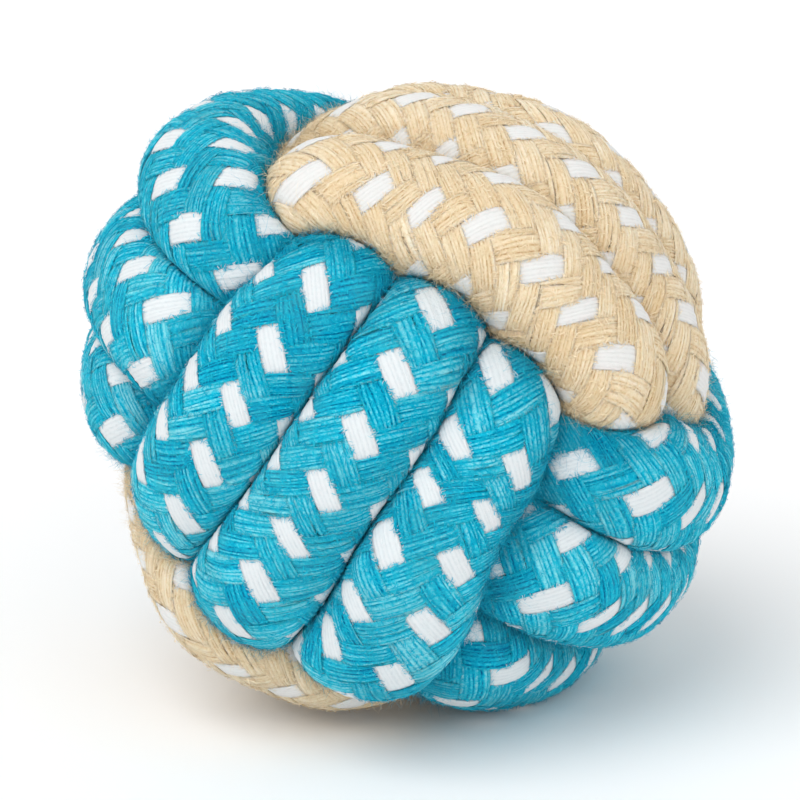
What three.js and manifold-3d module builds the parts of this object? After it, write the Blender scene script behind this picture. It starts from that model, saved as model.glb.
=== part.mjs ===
// A rope ball: a monkey's-fist knot of three lengths of braided cotton rope,
// each wound three turns round a heart of cotton yarn.
// First band (blue) lies across X, second band (blue) is wound over it, and the
// third band (beige) passes over the second and under the first, so that the
// three bands lock one another. Each rope is a braided cover on a filler core,
// with a thread whipping on both cut ends, which are tucked under a band.
// Millimetres, +Z up, origin under the ball's centre on the surface it rests on.
import * as THREE from 'three';
import { mergeVertices } from 'three/addons/utils/BufferGeometryUtils.js';
import Module from 'manifold-3d';

// ---- driving dimensions, mm ----
const ROPE_OUT = 6.80;           // half thickness of the tightened rope, out of the ball
const ROPE_SIDE = 7.50;          // half width of the tightened rope where nothing presses it
const STRAND_GAP = 0.85;         // clear gap between the surfaces of neighbouring strands
const COVER_WALL = 1.5;          // wall of the braided cover
const COVER_WALL_SHARE = 0.36;   // largest share of a pressed strand's radius that is wall
const CORE_GAP = 0.72;           // clear gap between the cover's bore and the core
const CORE_INSET = 0.6;          // the core stops short of the rope's cut face
const WHIP_LENGTH = 4.8;         // stretch of each rope end drawn in by its whipping
const WHIP_TAPER = 2.6;          // stretch over which the rope swells back
const WHIP_DRAW = 1.6;           // how far the whipping draws the rope in
const WHIP_GAP = 0.80;           // clear gap under the whipping
const WHIP_WALL = 0.60;          // thickness of the wound thread
const WHIP_FROM = 0.15;          // whipping starts and stops at these shares of WHIP_LENGTH
const WHIP_TO = 0.93;
const HEART_CLEAR = 11.0;        // no strand comes nearer to the ball's centre than this
const HEART_RADIUS = 10.4;       // ball of wound yarn in the middle
const BALL_CENTRE = new THREE.Vector3(0.25, 0.12, 32.03);
const SAGITTA = 0.20;            // chord error that sets the spacing of the sections
const STEP_MIN = 3.4, STEP_MAX = 7.0;
const FINE = 1.0;                // spacing of the centre-line samples that set the section shape
const SIDES = 10, BORE_SIDES = 6;
const TURN_CLEAR = 27;           // stretches of one rope nearer than this along it are not neighbours

// centre lines of the three ropes, from the first end to the last
const FIRST_BAND_LINE = [
  [-12.24, 14.59, 26.68], [-18.55, 16.47, 30.03], [-24.44, 14.13, 32.87], [-27.64, 7.77, 34.01],
  [-28.71, 0.68, 34.61], [-26.93, -6.44, 34.66], [-23.89, -13.06, 34.01], [-17.81, -15.45, 32.33],
  [-11.21, -14.16, 29.73], [-5.76, -13.34, 24.96], [0.48, -14.97, 21.49], [5.69, -17.38, 16.86],
  [9.40, -15.49, 11.41], [11.46, -9.39, 8.34], [13.50, -2.70, 6.51], [14.67, 4.62, 6.41],
  [14.43, 11.68, 8.35], [10.54, 16.05, 12.18], [4.84, 15.71, 16.84], [-1.02, 16.00, 20.95],
  [-3.26, 19.23, 27.10], [-6.46, 19.64, 33.71], [-11.60, 19.40, 38.91], [-17.82, 18.80, 42.44],
  [-22.67, 13.69, 44.57], [-26.14, 7.29, 45.67], [-26.97, -0.01, 46.07], [-25.84, -7.29, 45.66],
  [-22.69, -13.86, 44.65], [-18.01, -19.24, 42.75], [-11.87, -21.05, 39.45], [-5.60, -21.03, 35.52],
  [0.80, -20.36, 31.89], [7.21, -20.40, 28.21], [13.45, -20.16, 24.25], [18.84, -17.74, 20.71],
  [21.68, -12.12, 17.71], [23.56, -5.49, 15.43], [24.37, 1.81, 14.70], [23.80, 8.95, 15.82],
  [21.27, 15.07, 18.70], [16.16, 18.02, 22.83], [10.01, 18.52, 26.88], [5.75, 19.91, 32.68],
  [3.02, 18.39, 39.31], [-0.42, 15.16, 44.37], [-6.18, 15.93, 48.90], [-11.23, 14.52, 53.69],
  [-14.93, 8.58, 56.32], [-18.25, 1.55, 57.37], [-19.58, -5.89, 56.82], [-16.98, -12.38, 54.63],
  [-12.05, -17.34, 51.53], [-5.72, -17.69, 47.02], [-0.06, -14.83, 42.82], [6.26, -13.10, 39.57],
  [12.22, -14.32, 35.48], [18.77, -16.10, 32.52], [25.10, -14.26, 29.60], [27.93, -7.93, 26.95],
  [28.81, -0.75, 26.10], [27.60, 6.43, 28.10], [24.71, 13.18, 30.64], [19.27, 16.54, 34.01],
  [12.96, 14.40, 37.18]
];
const SECOND_BAND_LINE = [
  [-15.72, 9.05, 24.41], [-18.33, 15.37, 21.91], [-16.89, 21.46, 25.02], [-13.63, 24.71, 30.76],
  [-9.76, 26.15, 36.84], [-6.87, 24.95, 43.48], [-3.29, 22.29, 49.31], [0.08, 17.02, 52.75],
  [0.55, 10.17, 50.28], [-0.20, 3.20, 47.86], [-0.85, -4.08, 47.15], [-1.01, -10.87, 48.24],
  [-1.21, -17.80, 49.39], [-3.63, -23.40, 46.60], [-7.49, -26.08, 41.57], [-11.20, -26.72, 35.63],
  [-14.98, -24.21, 29.57], [-16.78, -18.81, 25.60], [-15.26, -11.62, 25.02], [-13.71, -4.33, 25.27],
  [-14.17, 0.31, 19.99], [-12.37, 6.34, 16.32], [-11.08, 13.05, 13.65], [-9.74, 19.77, 15.24],
  [-6.68, 24.54, 19.92], [-2.74, 27.37, 25.46], [1.23, 28.29, 31.58], [4.00, 27.39, 38.33],
  [6.69, 24.49, 44.51], [10.06, 19.86, 49.14], [11.66, 13.24, 50.99], [11.00, 6.06, 49.41],
  [10.05, -1.35, 48.30], [8.72, -8.53, 47.32], [7.22, -15.26, 45.54], [6.29, -21.96, 43.54],
  [4.09, -26.20, 39.01], [0.73, -28.12, 33.31], [-3.58, -27.99, 26.89], [-7.93, -25.78, 20.52],
  [-10.58, -19.89, 17.26], [-11.72, -12.74, 15.34], [-9.46, -5.91, 13.65], [-4.79, -0.07, 13.18],
  [-0.55, 5.61, 15.12], [0.43, 12.29, 12.41], [1.80, 19.12, 11.27], [5.23, 23.32, 16.05],
  [9.33, 24.98, 21.93], [12.94, 25.14, 28.34], [15.33, 23.71, 35.16], [17.86, 19.82, 40.75],
  [17.75, 12.92, 41.69], [15.46, 6.21, 39.56], [13.63, -1.01, 37.68], [13.00, -8.08, 38.23],
  [13.47, -14.99, 38.85], [13.95, -21.49, 36.86], [11.40, -24.77, 31.37], [8.19, -27.38, 24.37],
  [5.08, -26.42, 16.97], [0.96, -22.78, 13.40], [-0.97, -15.04, 15.47], [-0.24, -7.90, 18.00]
];
const THIRD_BAND_LINE = [
  [-8.24, -11.64, 46.28], [-7.12, -12.67, 50.32], [-4.53, -15.30, 55.68], [4.76, -16.44, 54.91],
  [13.44, -16.45, 52.18], [19.13, -15.52, 46.15], [23.38, -14.00, 38.90], [19.76, -12.18, 32.53],
  [15.68, -10.80, 29.08], [12.49, -11.22, 24.50], [8.36, -11.02, 18.40], [3.81, -12.17, 12.69],
  [-2.45, -14.66, 8.94], [-9.23, -17.01, 11.06], [-15.21, -17.62, 14.49], [-18.95, -14.28, 20.06],
  [-20.43, -11.22, 26.45], [-17.28, -9.48, 32.50], [-16.75, -9.86, 38.87], [-16.62, -6.18, 45.00],
  [-12.74, -3.04, 50.33], [-7.50, -1.63, 55.02], [-1.41, -2.18, 58.68], [5.73, -3.64, 58.63],
  [12.51, -5.10, 56.54], [18.65, -4.76, 52.15], [23.62, -3.54, 44.82], [26.42, -2.55, 36.68],
  [23.98, -1.44, 30.52], [21.27, -0.71, 26.32], [18.12, -0.96, 20.15], [13.37, -1.33, 14.62],
  [7.00, -1.62, 10.91], [0.98, -2.72, 6.83], [-6.14, -4.08, 6.29], [-12.73, -5.34, 9.02],
  [-17.52, -4.91, 14.19], [-21.58, -2.28, 19.50], [-23.40, -0.53, 26.34], [-22.19, 0.35, 33.28],
  [-20.82, 2.92, 39.69], [-16.47, 6.69, 44.02], [-9.75, 8.75, 45.90], [-5.94, 9.10, 51.94],
  [-1.42, 9.61, 57.46], [5.81, 8.56, 57.66], [12.88, 6.95, 56.44], [18.44, 7.55, 51.92],
  [22.47, 8.97, 45.92], [23.47, 9.86, 38.99], [18.73, 9.43, 33.40], [14.05, 9.42, 27.76],
  [10.85, 9.32, 21.12], [8.27, 9.13, 14.21], [5.01, 9.37, 7.67], [-1.90, 8.78, 6.19], [-8.98, 7.45, 7.69],
  [-15.44, 6.79, 10.98], [-20.32, 8.38, 16.23], [-23.96, 9.76, 22.40], [-20.89, 9.79, 28.64],
  [-14.65, 9.05, 32.47]
];
const BLUE = 0x1f9fc2, BEIGE = 0xdcc59b, CORE = 0xe6e0d0, THREAD = 0xe9e7e0, YARN = 0xd9d2c0;

const wasm = await Module();
wasm.setup();

// ---- rope centre lines and their frames ----
function traceRope(points) {
  const curve = new THREE.CatmullRomCurve3(points.map((p) => new THREE.Vector3(...p)), false, 'centripetal');
  curve.arcLengthDivisions = 4000;
  const length = curve.getLength();
  const count = Math.round(length / FINE);
  const fine = curve.getSpacedPoints(count);
  const along = fine.map((_, i) => (i * length) / count);
  return { curve, length, fine, along };
}

function frameAt(rope, s) {
  const u = THREE.MathUtils.clamp(s / rope.length, 0, 1);
  const p = rope.curve.getPointAt(u);
  const t = rope.curve.getTangentAt(u).normalize();
  const n = p.clone().sub(BALL_CENTRE);
  n.addScaledVector(t, -n.dot(t)).normalize();
  const b = new THREE.Vector3().crossVectors(t, n);
  return { p, t, n, b };
}

// distance from a centre line to the strand's surface in one direction: the free
// oval, or half way to the nearest neighbouring strand, or the heart
function reach(ropes, own, s, p, dir, angle) {
  let r = 1 / Math.hypot(Math.cos(angle) / ROPE_OUT, Math.sin(angle) / ROPE_SIDE);
  const limit = (2.6 * ROPE_SIDE) ** 2;
  ropes.forEach((rope) => {
    for (let i = 0; i < rope.fine.length; i++) {
      if (rope === own && Math.abs(rope.along[i] - s) < TURN_CLEAR) continue;
      const q = rope.fine[i];
      const dx = q.x - p.x, dy = q.y - p.y, dz = q.z - p.z;
      const d2 = dx * dx + dy * dy + dz * dz;
      if (d2 > limit) continue;
      const dot = dx * dir.x + dy * dir.y + dz * dir.z;
      if (dot > 1e-6) r = Math.min(r, d2 / (2 * dot) - STRAND_GAP / 2);
    }
  });
  const c = p.clone().sub(BALL_CENTRE);
  const bq = c.dot(dir), disc = bq * bq - c.lengthSq() + HEART_CLEAR ** 2;
  if (disc > 0 && bq < 0) r = Math.min(r, -bq - Math.sqrt(disc));
  return r;
}

// places of the sections along a rope: close together where it bends sharply
function stations(rope) {
  const out = [0, WHIP_LENGTH, WHIP_LENGTH + WHIP_TAPER];
  const last = rope.length - WHIP_LENGTH - WHIP_TAPER;
  const mid = [];
  let s = out[2];
  for (;;) {
    const h = 2.0;
    const a = frameAt(rope, s + 1.5), b = frameAt(rope, s + 1.5 + h);
    const bend = Math.max(a.t.angleTo(b.t) / h, 1e-4);
    s += THREE.MathUtils.clamp(Math.sqrt((8 * SAGITTA) / bend), STEP_MIN, STEP_MAX);
    if (s > last - STEP_MIN * 0.6) break;
    mid.push(s);
  }
  return [...out, ...mid, last, rope.length - WHIP_LENGTH, rope.length];
}

const smooth = (x) => { const c = THREE.MathUtils.clamp(x, 0, 1); return c * c * (3 - 2 * c); };

// section radii of one rope at its stations, kept inside its own space over the
// whole stretch that each section stands for
function sections(ropes, rope) {
  const st = stations(rope);
  const probes = new Map();
  const probe = (s) => {
    const key = s.toFixed(3);
    if (!probes.has(key)) {
      const f = frameAt(rope, s);
      const row = [];
      for (let j = 0; j < SIDES; j++) {
        const a = (2 * Math.PI * j) / SIDES;
        const dir = f.n.clone().multiplyScalar(Math.cos(a)).addScaledVector(f.b, Math.sin(a));
        row.push(reach(ropes, rope, s, f.p, dir, a));
      }
      probes.set(key, row);
    }
    return probes.get(key);
  };
  return st.map((s, i) => {
    const f = frameAt(rope, s);
    const lo = i > 0 ? st[i - 1] : s, hi = i < st.length - 1 ? st[i + 1] : s;
    const at = [s];
    for (let k = 1; k <= 2; k++) { at.push(s + ((lo - s) * k) / 4); at.push(s + ((hi - s) * k) / 4); }
    const rows = at.map(probe);
    const end = Math.min(s, rope.length - s);
    const draw = WHIP_DRAW * (1 - smooth((end - WHIP_LENGTH) / WHIP_TAPER));
    const radii = [];
    for (let j = 0; j < SIDES; j++) {
      let r = Infinity;
      rows.forEach((row) => { r = Math.min(r, row[j]); });
      radii.push(r - draw);
    }
    return { s, f, radii };
  });
}

const around = (f, a, r) => f.p.clone()
  .addScaledVector(f.n, Math.cos(a) * r).addScaledVector(f.b, Math.sin(a) * r);

// rings of points for the cover's outside, its bore and the core
function ringsOf(secs) {
  return secs.map(({ f, radii }) => {
    const outer = radii.map((r, j) => around(f, (2 * Math.PI * j) / SIDES, r));
    const bore = [], core = [];
    for (let k = 0; k < BORE_SIDES; k++) {
      const a = (2 * Math.PI * k) / BORE_SIDES;
      const x = (a / (2 * Math.PI)) * SIDES;
      let r = Infinity;
      for (let j = Math.floor(x - 0.9); j <= Math.ceil(x + 0.9); j++) r = Math.min(r, radii[(j + SIDES) % SIDES]);
      const inner = r - Math.min(COVER_WALL, r * COVER_WALL_SHARE);
      bore.push(around(f, a, inner));
      core.push(around(f, a, inner - CORE_GAP));
    }
    return { outer, bore, core, f };
  });
}

// ---- closed meshes from rings ----
function meshBuilder() {
  const pos = [], idx = [];
  return {
    pos, idx,
    ring(points) { const at = pos.length / 3; points.forEach((p) => pos.push(p.x, p.y, p.z)); return at; },
    skin(a, b, n, flip) {
      for (let j = 0; j < n; j++) {
        const k = (j + 1) % n;
        if (flip) idx.push(a + j, b + j, a + k, a + k, b + j, b + k);
        else idx.push(a + j, a + k, b + j, a + k, b + k, b + j);
      }
    },
    cap(a, n, flip) {
      for (let j = 1; j < n - 1; j++) flip ? idx.push(a, a + j + 1, a + j) : idx.push(a, a + j, a + j + 1);
    },
    // flat ring between an outside of n points and a bore of m points
    annulus(a, n, b, m, flip) {
      let i = 0, k = 0;
      while (i < n || k < m) {
        const nextOut = (i + 1) / n <= (k + 1) / m + 1e-9 && i < n;
        if (nextOut) {
          const t = [a + (i % n), a + ((i + 1) % n), b + (k % m)];
          idx.push(...(flip ? [t[0], t[2], t[1]] : t)); i++;
        } else {
          const t = [a + (i % n), b + ((k + 1) % m), b + (k % m)];
          idx.push(...(flip ? [t[0], t[2], t[1]] : t)); k++;
        }
      }
    },
    geometry() {
      const g = new THREE.BufferGeometry();
      g.setAttribute('position', new THREE.Float32BufferAttribute(pos, 3));
      g.setIndex(idx);
      g.computeVertexNormals();
      return g;
    },
  };
}

function sleeve(outside, bore) {
  const n = outside[0].length, m = bore[0].length, last = outside.length - 1;
  const mb = meshBuilder();
  const o = outside.map((r) => mb.ring(r)), i = bore.map((r) => mb.ring(r));
  for (let k = 0; k < last; k++) { mb.skin(o[k], o[k + 1], n, false); mb.skin(i[k], i[k + 1], m, true); }
  mb.annulus(o[0], n, i[0], m, true);
  mb.annulus(o[last], n, i[last], m, false);
  return mb.geometry();
}

function rod(rings) {
  const n = rings[0].length, last = rings.length - 1;
  const mb = meshBuilder();
  const o = rings.map((r) => mb.ring(r));
  for (let k = 0; k < last; k++) mb.skin(o[k], o[k + 1], n, false);
  mb.cap(o[0], n, true);
  mb.cap(o[last], n, false);
  return mb.geometry();
}

function solidOf(geometry) {
  const g = geometry.clone();
  g.deleteAttribute('normal');
  if (g.getAttribute('uv')) g.deleteAttribute('uv');
  const w = mergeVertices(g, 1e-4);
  return new wasm.Manifold(new wasm.Mesh({
    numProp: 3,
    vertProperties: new Float32Array(w.getAttribute('position').array),
    triVerts: new Uint32Array(w.index.array),
  }));
}

function geometryOf(solid) {
  const m = solid.getMesh();
  const g = new THREE.BufferGeometry();
  g.setAttribute('position', new THREE.BufferAttribute(new Float32Array(m.vertProperties), 3));
  g.setIndex(new THREE.BufferAttribute(new Uint32Array(m.triVerts), 1));
  g.computeVertexNormals();
  return g;
}

// what lies below the resting plane is pressed flat
const below = new THREE.BoxGeometry(200, 200, 40);
below.translate(0, 0, -20);
const belowSolid = solidOf(below);
const pressFlat = (geometry) => {
  geometry.computeBoundingBox();
  return geometry.boundingBox.min.z < 0 ? geometryOf(solidOf(geometry).subtract(belowSolid)) : geometry;
};

const cloth = (color, roughness) => new THREE.MeshStandardMaterial({ color, roughness, metalness: 0 });
const piece = (name, geometry, material) => {
  const mesh = new THREE.Mesh(geometry, material);
  mesh.name = name;
  return mesh;
};

// a rope end's whipping follows the drawn-in stretch of the cover
function whipping(a, b, flip) {
  const share = [WHIP_FROM, 0.5 * (WHIP_FROM + WHIP_TO), WHIP_TO];
  const out = [], bore = [];
  (flip ? share.map((x) => 1 - x).reverse() : share).forEach((x) => {
    const c = a.f.p.clone().lerp(b.f.p, x);
    const at = (extra) => a.outer.map((v, j) => {
      const q = v.clone().lerp(b.outer[j], x).sub(c);
      return c.clone().addScaledVector(q, 1 + extra / q.length());
    });
    bore.push(at(WHIP_GAP));
    out.push(at(WHIP_GAP + WHIP_WALL));
  });
  return sleeve(out, bore);
}

const ropes = [FIRST_BAND_LINE, SECOND_BAND_LINE, THIRD_BAND_LINE].map(traceRope);
const bands = [
  { name: 'first_band', color: BLUE },
  { name: 'second_band', color: BLUE },
  { name: 'third_band', color: BEIGE },
];

const ball = new THREE.Group();
ball.name = 'rope_ball';

bands.forEach((band, k) => {
  const group = new THREE.Group();
  const rings = ringsOf(sections(ropes, ropes[k]));
  const last = rings.length - 1;
  const cover = sleeve(rings.map((r) => r.outer), rings.map((r) => r.bore));
  const core = rings.map((r) => r.core);
  core[0] = core[0].map((p, j) => p.clone().lerp(rings[1].core[j], CORE_INSET / WHIP_LENGTH));
  core[last] = core[last].map((p, j) => p.clone().lerp(rings[last - 1].core[j], CORE_INSET / WHIP_LENGTH));
  group.add(piece(`${band.name}_cover`, pressFlat(cover), cloth(band.color, 0.95)));
  group.add(piece(`${band.name}_core`, rod(core), cloth(CORE, 0.95)));
  group.add(piece(`${band.name}_start_whipping`, whipping(rings[0], rings[1], false), cloth(THREAD, 0.8)));
  group.add(piece(`${band.name}_end_whipping`, whipping(rings[last - 1], rings[last], true), cloth(THREAD, 0.8)));
  ball.add(group);
});

const heart = new THREE.SphereGeometry(HEART_RADIUS, 20, 12);
const yarn = piece('heart_ball', heart, cloth(YARN, 0.95));
yarn.position.copy(BALL_CENTRE);
ball.add(yarn);

export default ball;
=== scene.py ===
import math
import bpy
import numpy as np
from mathutils import Matrix


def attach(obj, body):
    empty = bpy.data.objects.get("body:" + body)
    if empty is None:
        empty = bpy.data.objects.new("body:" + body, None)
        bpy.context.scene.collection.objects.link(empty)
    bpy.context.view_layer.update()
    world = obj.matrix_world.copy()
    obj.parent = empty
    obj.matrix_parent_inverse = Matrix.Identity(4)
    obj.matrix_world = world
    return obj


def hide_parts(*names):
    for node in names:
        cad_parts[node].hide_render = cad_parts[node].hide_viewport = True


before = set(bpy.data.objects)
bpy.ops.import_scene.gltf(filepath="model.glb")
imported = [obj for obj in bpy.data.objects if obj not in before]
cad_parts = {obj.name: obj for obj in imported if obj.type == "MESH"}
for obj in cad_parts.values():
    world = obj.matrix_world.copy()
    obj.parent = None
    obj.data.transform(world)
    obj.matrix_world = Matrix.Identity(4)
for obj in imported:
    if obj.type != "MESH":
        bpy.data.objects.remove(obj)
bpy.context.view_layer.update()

# ------------------------------------------------------------------ dimensions, mm
MM = 0.001
CENTRE = np.array([0.25, 0.12, 32.03])     # middle of the ball
ROPE_OUT, ROPE_SIDE = 6.80, 7.50           # half thickness and half width of the tightened rope
STRAND_GAP = 0.10                          # between the surfaces of two strands that press on each other
HEART_CLEAR, HEART_RADIUS = 11.0, 10.4
TURN_CLEAR = 27.0                          # stretches of one rope nearer than this along it aren't neighbours
WHIP_LENGTH, WHIP_TAPER, WHIP_DRAW = 4.8, 2.6, 1.6
ROW = 0.75                                 # spacing of the table rows along a rope
NPHI, NU = 72, 180
CARRIERS = 10                              # each way round the rope
WAVE = 0.20                                # half the height between an upper and a lower ribbon
THICK = 0.40                               # thickness of a ribbon
SPAN = 5.2                                 # rope length for one white fleck

# centre lines of the three ropes, from the first end to the last
FIRST_BAND_LINE = [
  [-12.24, 14.59, 26.68], [-18.55, 16.47, 30.03], [-24.44, 14.13, 32.87], [-27.64, 7.77, 34.01],
  [-28.71, 0.68, 34.61], [-26.93, -6.44, 34.66], [-23.89, -13.06, 34.01], [-17.81, -15.45, 32.33],
  [-11.21, -14.16, 29.73], [-5.76, -13.34, 24.96], [0.48, -14.97, 21.49], [5.69, -17.38, 16.86],
  [9.40, -15.49, 11.41], [11.46, -9.39, 8.34], [13.50, -2.70, 6.51], [14.67, 4.62, 6.41],
  [14.43, 11.68, 8.35], [10.54, 16.05, 12.18], [4.84, 15.71, 16.84], [-1.02, 16.00, 20.95],
  [-3.26, 19.23, 27.10], [-6.46, 19.64, 33.71], [-11.60, 19.40, 38.91], [-17.82, 18.80, 42.44],
  [-22.67, 13.69, 44.57], [-26.14, 7.29, 45.67], [-26.97, -0.01, 46.07], [-25.84, -7.29, 45.66],
  [-22.69, -13.86, 44.65], [-18.01, -19.24, 42.75], [-11.87, -21.05, 39.45], [-5.60, -21.03, 35.52],
  [0.80, -20.36, 31.89], [7.21, -20.40, 28.21], [13.45, -20.16, 24.25], [18.84, -17.74, 20.71],
  [21.68, -12.12, 17.71], [23.56, -5.49, 15.43], [24.37, 1.81, 14.70], [23.80, 8.95, 15.82],
  [21.27, 15.07, 18.70], [16.16, 18.02, 22.83], [10.01, 18.52, 26.88], [5.75, 19.91, 32.68],
  [3.02, 18.39, 39.31], [-0.42, 15.16, 44.37], [-6.18, 15.93, 48.90], [-11.23, 14.52, 53.69],
  [-14.93, 8.58, 56.32], [-18.25, 1.55, 57.37], [-19.58, -5.89, 56.82], [-16.98, -12.38, 54.63],
  [-12.05, -17.34, 51.53], [-5.72, -17.69, 47.02], [-0.06, -14.83, 42.82], [6.26, -13.10, 39.57],
  [12.22, -14.32, 35.48], [18.77, -16.10, 32.52], [25.10, -14.26, 29.60], [27.93, -7.93, 26.95],
  [28.81, -0.75, 26.10], [27.60, 6.43, 28.10], [24.71, 13.18, 30.64], [19.27, 16.54, 34.01],
  [12.96, 14.40, 37.18]
]
SECOND_BAND_LINE = [
  [-15.72, 9.05, 24.41], [-18.33, 15.37, 21.91], [-16.89, 21.46, 25.02], [-13.63, 24.71, 30.76],
  [-9.76, 26.15, 36.84], [-6.87, 24.95, 43.48], [-3.29, 22.29, 49.31], [0.08, 17.02, 52.75],
  [0.55, 10.17, 50.28], [-0.20, 3.20, 47.86], [-0.85, -4.08, 47.15], [-1.01, -10.87, 48.24],
  [-1.21, -17.80, 49.39], [-3.63, -23.40, 46.60], [-7.49, -26.08, 41.57], [-11.20, -26.72, 35.63],
  [-14.98, -24.21, 29.57], [-16.78, -18.81, 25.60], [-15.26, -11.62, 25.02], [-13.71, -4.33, 25.27],
  [-14.17, 0.31, 19.99], [-12.37, 6.34, 16.32], [-11.08, 13.05, 13.65], [-9.74, 19.77, 15.24],
  [-6.68, 24.54, 19.92], [-2.74, 27.37, 25.46], [1.23, 28.29, 31.58], [4.00, 27.39, 38.33],
  [6.69, 24.49, 44.51], [10.06, 19.86, 49.14], [11.66, 13.24, 50.99], [11.00, 6.06, 49.41],
  [10.05, -1.35, 48.30], [8.72, -8.53, 47.32], [7.22, -15.26, 45.54], [6.29, -21.96, 43.54],
  [4.09, -26.20, 39.01], [0.73, -28.12, 33.31], [-3.58, -27.99, 26.89], [-7.93, -25.78, 20.52],
  [-10.58, -19.89, 17.26], [-11.72, -12.74, 15.34], [-9.46, -5.91, 13.65], [-4.79, -0.07, 13.18],
  [-0.55, 5.61, 15.12], [0.43, 12.29, 12.41], [1.80, 19.12, 11.27], [5.23, 23.32, 16.05],
  [9.33, 24.98, 21.93], [12.94, 25.14, 28.34], [15.33, 23.71, 35.16], [17.86, 19.82, 40.75],
  [17.75, 12.92, 41.69], [15.46, 6.21, 39.56], [13.63, -1.01, 37.68], [13.00, -8.08, 38.23],
  [13.47, -14.99, 38.85], [13.95, -21.49, 36.86], [11.40, -24.77, 31.37], [8.19, -27.38, 24.37],
  [5.08, -26.42, 16.97], [0.96, -22.78, 13.40], [-0.97, -15.04, 15.47], [-0.24, -7.90, 18.00]
]
THIRD_BAND_LINE = [
  [-8.24, -11.64, 46.28], [-7.12, -12.67, 50.32], [-4.53, -15.30, 55.68], [4.76, -16.44, 54.91],
  [13.44, -16.45, 52.18], [19.13, -15.52, 46.15], [23.38, -14.00, 38.90], [19.76, -12.18, 32.53],
  [15.68, -10.80, 29.08], [12.49, -11.22, 24.50], [8.36, -11.02, 18.40], [3.81, -12.17, 12.69],
  [-2.45, -14.66, 8.94], [-9.23, -17.01, 11.06], [-15.21, -17.62, 14.49], [-18.95, -14.28, 20.06],
  [-20.43, -11.22, 26.45], [-17.28, -9.48, 32.50], [-16.75, -9.86, 38.87], [-16.62, -6.18, 45.00],
  [-12.74, -3.04, 50.33], [-7.50, -1.63, 55.02], [-1.41, -2.18, 58.68], [5.73, -3.64, 58.63],
  [12.51, -5.10, 56.54], [18.65, -4.76, 52.15], [23.62, -3.54, 44.82], [26.42, -2.55, 36.68],
  [23.98, -1.44, 30.52], [21.27, -0.71, 26.32], [18.12, -0.96, 20.15], [13.37, -1.33, 14.62],
  [7.00, -1.62, 10.91], [0.98, -2.72, 6.83], [-6.14, -4.08, 6.29], [-12.73, -5.34, 9.02],
  [-17.52, -4.91, 14.19], [-21.58, -2.28, 19.50], [-23.40, -0.53, 26.34], [-22.19, 0.35, 33.28],
  [-20.82, 2.92, 39.69], [-16.47, 6.69, 44.02], [-9.75, 8.75, 45.90], [-5.94, 9.10, 51.94],
  [-1.42, 9.61, 57.46], [5.81, 8.56, 57.66], [12.88, 6.95, 56.44], [18.44, 7.55, 51.92],
  [22.47, 8.97, 45.92], [23.47, 9.86, 38.99], [18.73, 9.43, 33.40], [14.05, 9.42, 27.76],
  [10.85, 9.32, 21.12], [8.27, 9.13, 14.21], [5.01, 9.37, 7.67], [-1.90, 8.78, 6.19], [-8.98, 7.45, 7.69],
  [-15.44, 6.79, 10.98], [-20.32, 8.38, 16.23], [-23.96, 9.76, 22.40], [-20.89, 9.79, 28.64],
  [-14.65, 9.05, 32.47]
]
# For every rope: (place along it, white flecks up to there) and (place, turn of the
# fleck columns as a share of the way round)
COUNT = [
    [(34.9, 6), (45.4, 8), (94.6, 17), (115.4, 21), (192.0, 36), (212.8, 40), (260.0, 49), (280.8, 53), (363.4, 69), (384.2, 73),
     (427.2, 81), (448.0, 85)],
    [(100.0, 18), (120.8, 22), (260.4, 49), (281.2, 53), (421.0, 80), (441.8, 84)],
    [(22.6, 4), (43.4, 8), (169.2, 33), (190.0, 37)],
]
TURN = [
    [(30, .080), (50, 0.0), (94, .060), (114, .020), (190, -.056), (210, .104), (260, 0.0), (280, -.080), (361, -.088), (381, .072),
     (424, .012), (444, -.028)],
    [(95, .128), (119, .080), (258, -.032), (282, -.032), (418, -.112), (442, -.064)],
    [(20, .040), (45, .040), (165, -.024), (338, -.024)],
]
SLIP = [0.3, 0.5, 0.4]                     # how far the sides of the cover are pulled along the rope
BANDS = ["first_band", "second_band", "third_band"]

rng = np.random.default_rng(20)


# ------------------------------------------------------------------ rope tables
def spline(points, step):
    p = np.array(points, float)
    n = len(p)
    t = np.r_[0, np.cumsum(np.sqrt(np.linalg.norm(np.diff(p, axis=0), axis=1)))]
    h = np.diff(t)
    A = np.zeros((n, n))
    A[0, 0] = A[-1, -1] = 1
    r = np.zeros((n, 3))
    for i in range(1, n - 1):
        A[i, i - 1], A[i, i], A[i, i + 1] = h[i - 1], 2 * (h[i - 1] + h[i]), h[i]
        r[i] = 6 * ((p[i + 1] - p[i]) / h[i] - (p[i] - p[i - 1]) / h[i - 1])
    m = np.linalg.solve(A, r)
    x = np.linspace(0, t[-1], n * 40)
    i = np.clip(np.searchsorted(t, x) - 1, 0, n - 2)
    a = (t[i + 1] - x) / h[i]
    b = 1 - a
    q = a[:, None] * p[i] + b[:, None] * p[i + 1] + (
        ((a**3 - a) * h[i] ** 2 / 6)[:, None] * m[i] + ((b**3 - b) * h[i] ** 2 / 6)[:, None] * m[i + 1])
    l = np.r_[0, np.cumsum(np.linalg.norm(np.diff(q, axis=0), axis=1))]
    k = int(round(l[-1] / step))
    s = np.linspace(0, l[-1], k + 1)
    return np.stack([np.interp(s, l, q[:, c]) for c in range(3)], 1), s


def smooth01(x):
    c = np.clip(x, 0, 1)
    return c * c * (3 - 2 * c)


class Rope:
    pass


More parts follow.
